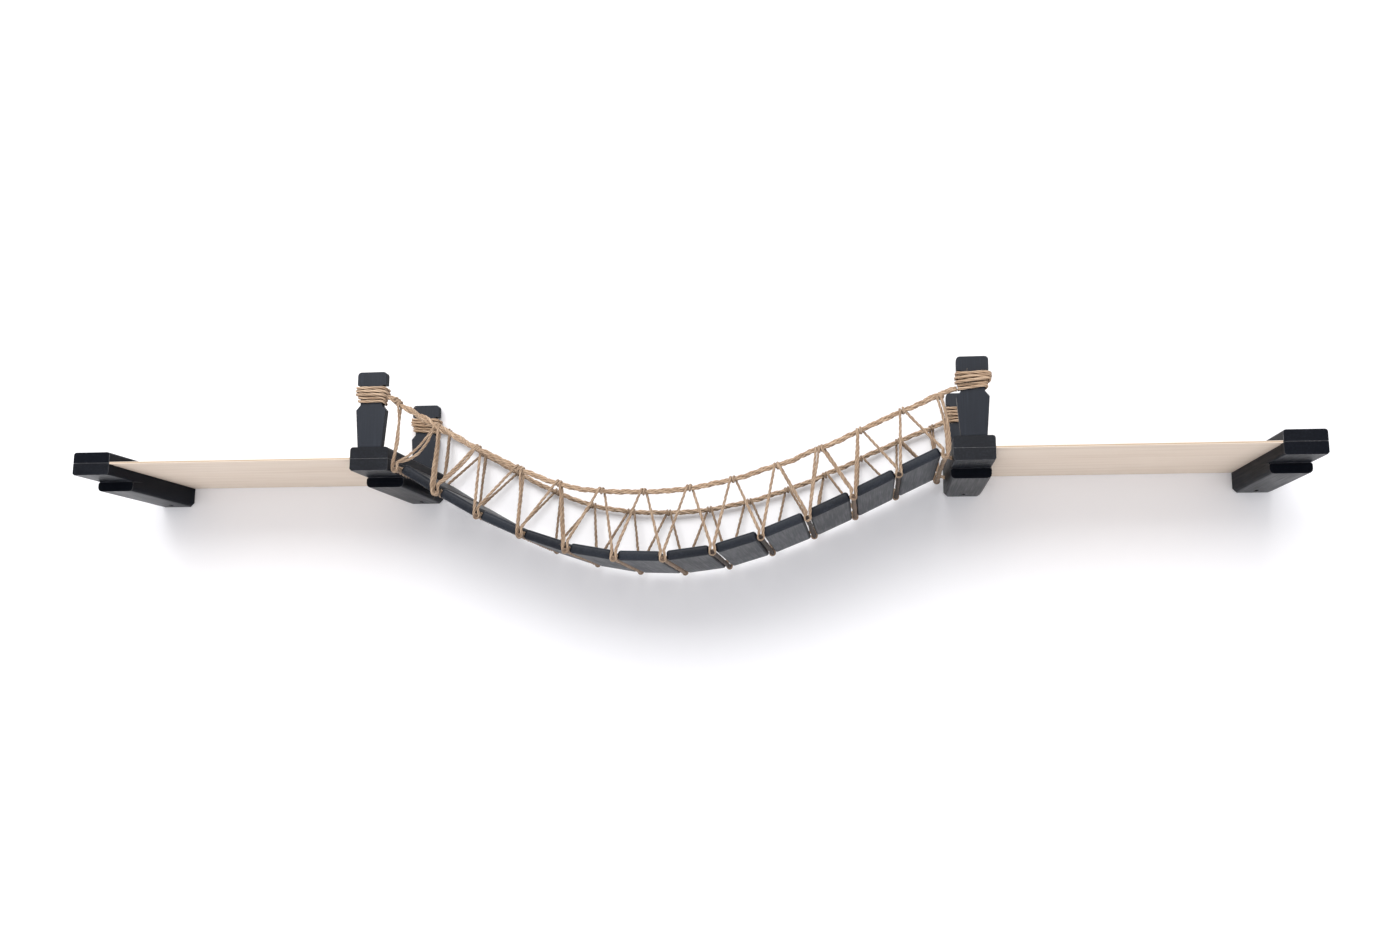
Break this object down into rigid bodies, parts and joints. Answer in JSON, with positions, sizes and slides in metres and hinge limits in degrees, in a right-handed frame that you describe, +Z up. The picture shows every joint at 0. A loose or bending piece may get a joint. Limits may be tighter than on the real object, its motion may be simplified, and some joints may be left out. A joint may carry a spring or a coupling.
{
  "type": "cat climbing bridge",
  "caption": "Wall-mounted cat bridge: plywood shelves in dark wooden brackets, joined by a sagging plank bridge hung in twine lacing from handrails on wooden posts.",
  "frame": {"origin": "on the wall plane, midway between the two inner brackets, at the height of the middle of the shelf panels' thickness", "axes": "+X along the wall, +Y into the wall, +Z up; the object reaches from the wall towards -Y"},
  "size_m": [1.6796, 0.2446, 0.268],
  "materials": {
    "painted_wood": "black paint with a faint blue tint on planed wood, half matt, the grain just showing",
    "birch_plywood": "pale birch plywood, sanded, matt",
    "jute_twine": "twisted jute, matt and slightly hairy",
    "screw_steel": "zinc plated steel"
  },
  "bodies": {
    "brackets": {"left_end_bracket_arm": "painted_wood", "left_inner_bracket_arm": "painted_wood", "right_inner_bracket_arm": "painted_wood", "right_end_bracket_arm": "painted_wood", "left_end_bracket_top_bar": "painted_wood", "left_inner_bracket_top_bar": "painted_wood", "right_inner_bracket_top_bar": "painted_wood", "right_end_bracket_top_bar": "painted_wood", "left_shelf_panel": "birch_plywood", "right_shelf_panel": "birch_plywood", "left_end_front_clamp_screw": "screw_steel", "left_end_rear_clamp_screw": "screw_steel", "left_inner_front_clamp_screw": "screw_steel", "left_inner_rear_clamp_screw": "screw_steel", "right_inner_front_clamp_screw": "screw_steel", "right_inner_rear_clamp_screw": "screw_steel", "right_end_front_clamp_screw": "screw_steel", "right_end_rear_clamp_screw": "screw_steel", "left_front_rope_post": "painted_wood", "left_rear_rope_post": "painted_wood", "right_front_rope_post": "painted_wood", "right_rear_rope_post": "painted_wood", "left_front_post_wrap": "jute_twine", "left_rear_post_wrap": "jute_twine", "right_front_post_wrap": "jute_twine", "right_rear_post_wrap": "jute_twine", "front_carrier_rope": "jute_twine", "rear_carrier_rope": "jute_twine"},
    "front_side": {"front_handrail": "jute_twine", "front_lacing": "jute_twine"},
    "rear_side": {"rear_handrail": "jute_twine", "rear_lacing": "jute_twine"},
    "hanger_01": {"cross_rope_01": "jute_twine"},
    "step_01": {"plank_01": "painted_wood"},
    "hanger_02": {"cross_rope_02": "jute_twine"},
    "step_02": {"plank_02": "painted_wood"},
    "hanger_03": {"cross_rope_03": "jute_twine"},
    "step_03": {"plank_03": "painted_wood"},
    "hanger_04": {"cross_rope_04": "jute_twine"},
    "step_04": {"plank_04": "painted_wood"},
    "hanger_05": {"cross_rope_05": "jute_twine"},
    "step_05": {"plank_05": "painted_wood"},
    "hanger_06": {"cross_rope_06": "jute_twine"},
    "step_06": {"plank_06": "painted_wood"},
    "hanger_07": {"cross_rope_07": "jute_twine"},
    "step_07": {"plank_07": "painted_wood"},
    "hanger_08": {"cross_rope_08": "jute_twine"},
    "step_08": {"plank_08": "painted_wood"},
    "hanger_09": {"cross_rope_09": "jute_twine"},
    "step_09": {"plank_09": "painted_wood"},
    "hanger_10": {"cross_rope_10": "jute_twine"},
    "step_10": {"plank_10": "painted_wood"},
    "hanger_11": {"cross_rope_11": "jute_twine"},
    "step_11": {"plank_11": "painted_wood"},
    "hanger_12": {"cross_rope_12": "jute_twine", "cross_rope_13": "jute_twine"},
    "step_12": {"plank_12": "painted_wood"}
  },
  "joints": [
    {"name": "front_sway", "type": "hinge", "parent": "brackets", "child": "front_side", "pos_m": [0, -0.229, 0.0874], "axis": [1, 0, 0], "range_deg": [-3, 2.2], "deforming": ["front_carrier_rope"]},
    {"name": "rear_sway", "type": "hinge", "parent": "brackets", "child": "rear_side", "pos_m": [0, -0.017, 0.0874], "axis": [1, 0, 0], "range_deg": [-3, 2.2], "deforming": ["rear_carrier_rope"]},
    {"name": "hanger_01_level", "type": "hinge", "parent": "front_side", "child": "hanger_01", "pos_m": [0, -0.229, -0.0266], "axis": [1, 0, 0], "range_deg": [-2.2, 3]},
    {"name": "hanger_02_level", "type": "hinge", "parent": "front_side", "child": "hanger_02", "pos_m": [0, -0.229, -0.0598], "axis": [1, 0, 0], "range_deg": [-2.2, 3]},
    {"name": "hanger_03_level", "type": "hinge", "parent": "front_side", "child": "hanger_03", "pos_m": [0, -0.229, -0.0891], "axis": [1, 0, 0], "range_deg": [-2.2, 3]},
    {"name": "hanger_04_level", "type": "hinge", "parent": "front_side", "child": "hanger_04", "pos_m": [0, -0.229, -0.1128], "axis": [1, 0, 0], "range_deg": [-2.2, 3]},
    {"name": "hanger_05_level", "type": "hinge", "parent": "front_side", "child": "hanger_05", "pos_m": [0, -0.229, -0.1286], "axis": [1, 0, 0], "range_deg": [-2.2, 3]},
    {"name": "hanger_06_level", "type": "hinge", "parent": "front_side", "child": "hanger_06", "pos_m": [0, -0.229, -0.135], "axis": [1, 0, 0], "range_deg": [-2.2, 3]},
    {"name": "hanger_07_level", "type": "hinge", "parent": "front_side", "child": "hanger_07", "pos_m": [0, -0.229, -0.1316], "axis": [1, 0, 0], "range_deg": [-2.2, 3]},
    {"name": "hanger_08_level", "type": "hinge", "parent": "front_side", "child": "hanger_08", "pos_m": [0, -0.229, -0.118], "axis": [1, 0, 0], "range_deg": [-2.2, 3]},
    {"name": "hanger_09_level", "type": "hinge", "parent": "front_side", "child": "hanger_09", "pos_m": [0, -0.229, -0.0962], "axis": [1, 0, 0], "range_deg": [-2.2, 3]},
    {"name": "hanger_10_level", "type": "hinge", "parent": "front_side", "child": "hanger_10", "pos_m": [0, -0.229, -0.0704], "axis": [1, 0, 0], "range_deg": [-2.2, 3]},
    {"name": "hanger_11_level", "type": "hinge", "parent": "front_side", "child": "hanger_11", "pos_m": [0, -0.229, -0.0425], "axis": [1, 0, 0], "range_deg": [-2.2, 3]},
    {"name": "hanger_12_level", "type": "hinge", "parent": "front_side", "child": "hanger_12", "pos_m": [0, -0.229, -0.0141], "axis": [1, 0, 0], "range_deg": [-2.2, 3]},
    {"name": "step_01_rock", "type": "hinge", "parent": "hanger_01", "child": "step_01", "pos_m": [-0.3388, -0.123, -0.0266], "axis": [0, 1, 0], "range_deg": [-3, 3]},
    {"name": "step_02_rock", "type": "hinge", "parent": "hanger_02", "child": "step_02", "pos_m": [-0.2821, -0.123, -0.0598], "axis": [0, 1, 0], "range_deg": [-3, 3]},
    {"name": "step_03_rock", "type": "hinge", "parent": "hanger_03", "child": "step_03", "pos_m": [-0.2234, -0.123, -0.0891], "axis": [0, 1, 0], "range_deg": [-3, 3]},
    {"name": "step_04_rock", "type": "hinge", "parent": "hanger_04", "child": "step_04", "pos_m": [-0.1622, -0.123, -0.1128], "axis": [0, 1, 0], "range_deg": [-3, 3]},
    {"name": "step_05_rock", "type": "hinge", "parent": "hanger_05", "child": "step_05", "pos_m": [-0.0986, -0.123, -0.1286], "axis": [0, 1, 0], "range_deg": [-3, 3]},
    {"name": "step_06_rock", "type": "hinge", "parent": "hanger_06", "child": "step_06", "pos_m": [-0.0334, -0.123, -0.135], "axis": [0, 1, 0], "range_deg": [-3, 3]},
    {"name": "step_07_rock", "type": "hinge", "parent": "hanger_07", "child": "step_07", "pos_m": [0.032, -0.123, -0.1316], "axis": [0, 1, 0], "range_deg": [-3, 3]},
    {"name": "step_08_rock", "type": "hinge", "parent": "hanger_08", "child": "step_08", "pos_m": [0.0961, -0.123, -0.118], "axis": [0, 1, 0], "range_deg": [-3, 3]},
    {"name": "step_09_rock", "type": "hinge", "parent": "hanger_09", "child": "step_09", "pos_m": [0.158, -0.123, -0.0962], "axis": [0, 1, 0], "range_deg": [-3, 3]},
    {"name": "step_10_rock", "type": "hinge", "parent": "hanger_10", "child": "step_10", "pos_m": [0.2185, -0.123, -0.0704], "axis": [0, 1, 0], "range_deg": [-3, 3]},
    {"name": "step_11_rock", "type": "hinge", "parent": "hanger_11", "child": "step_11", "pos_m": [0.2779, -0.123, -0.0425], "axis": [0, 1, 0], "range_deg": [-3, 3]},
    {"name": "step_12_rock", "type": "hinge", "parent": "hanger_12", "child": "step_12", "pos_m": [0.3372, -0.123, -0.0141], "axis": [0, 1, 0], "range_deg": [-3, 3]}
  ],
  "couplings": [
    {"joint": "rear_sway", "follows": "front_sway", "ratio": 1},
    {"joint": "hanger_01_level", "follows": "front_sway", "ratio": -1},
    {"joint": "hanger_02_level", "follows": "front_sway", "ratio": -1},
    {"joint": "hanger_03_level", "follows": "front_sway", "ratio": -1},
    {"joint": "hanger_04_level", "follows": "front_sway", "ratio": -1},
    {"joint": "hanger_05_level", "follows": "front_sway", "ratio": -1},
    {"joint": "hanger_06_level", "follows": "front_sway", "ratio": -1},
    {"joint": "hanger_07_level", "follows": "front_sway", "ratio": -1},
    {"joint": "hanger_08_level", "follows": "front_sway", "ratio": -1},
    {"joint": "hanger_09_level", "follows": "front_sway", "ratio": -1},
    {"joint": "hanger_10_level", "follows": "front_sway", "ratio": -1},
    {"joint": "hanger_11_level", "follows": "front_sway", "ratio": -1},
    {"joint": "hanger_12_level", "follows": "front_sway", "ratio": -1}
  ]
}
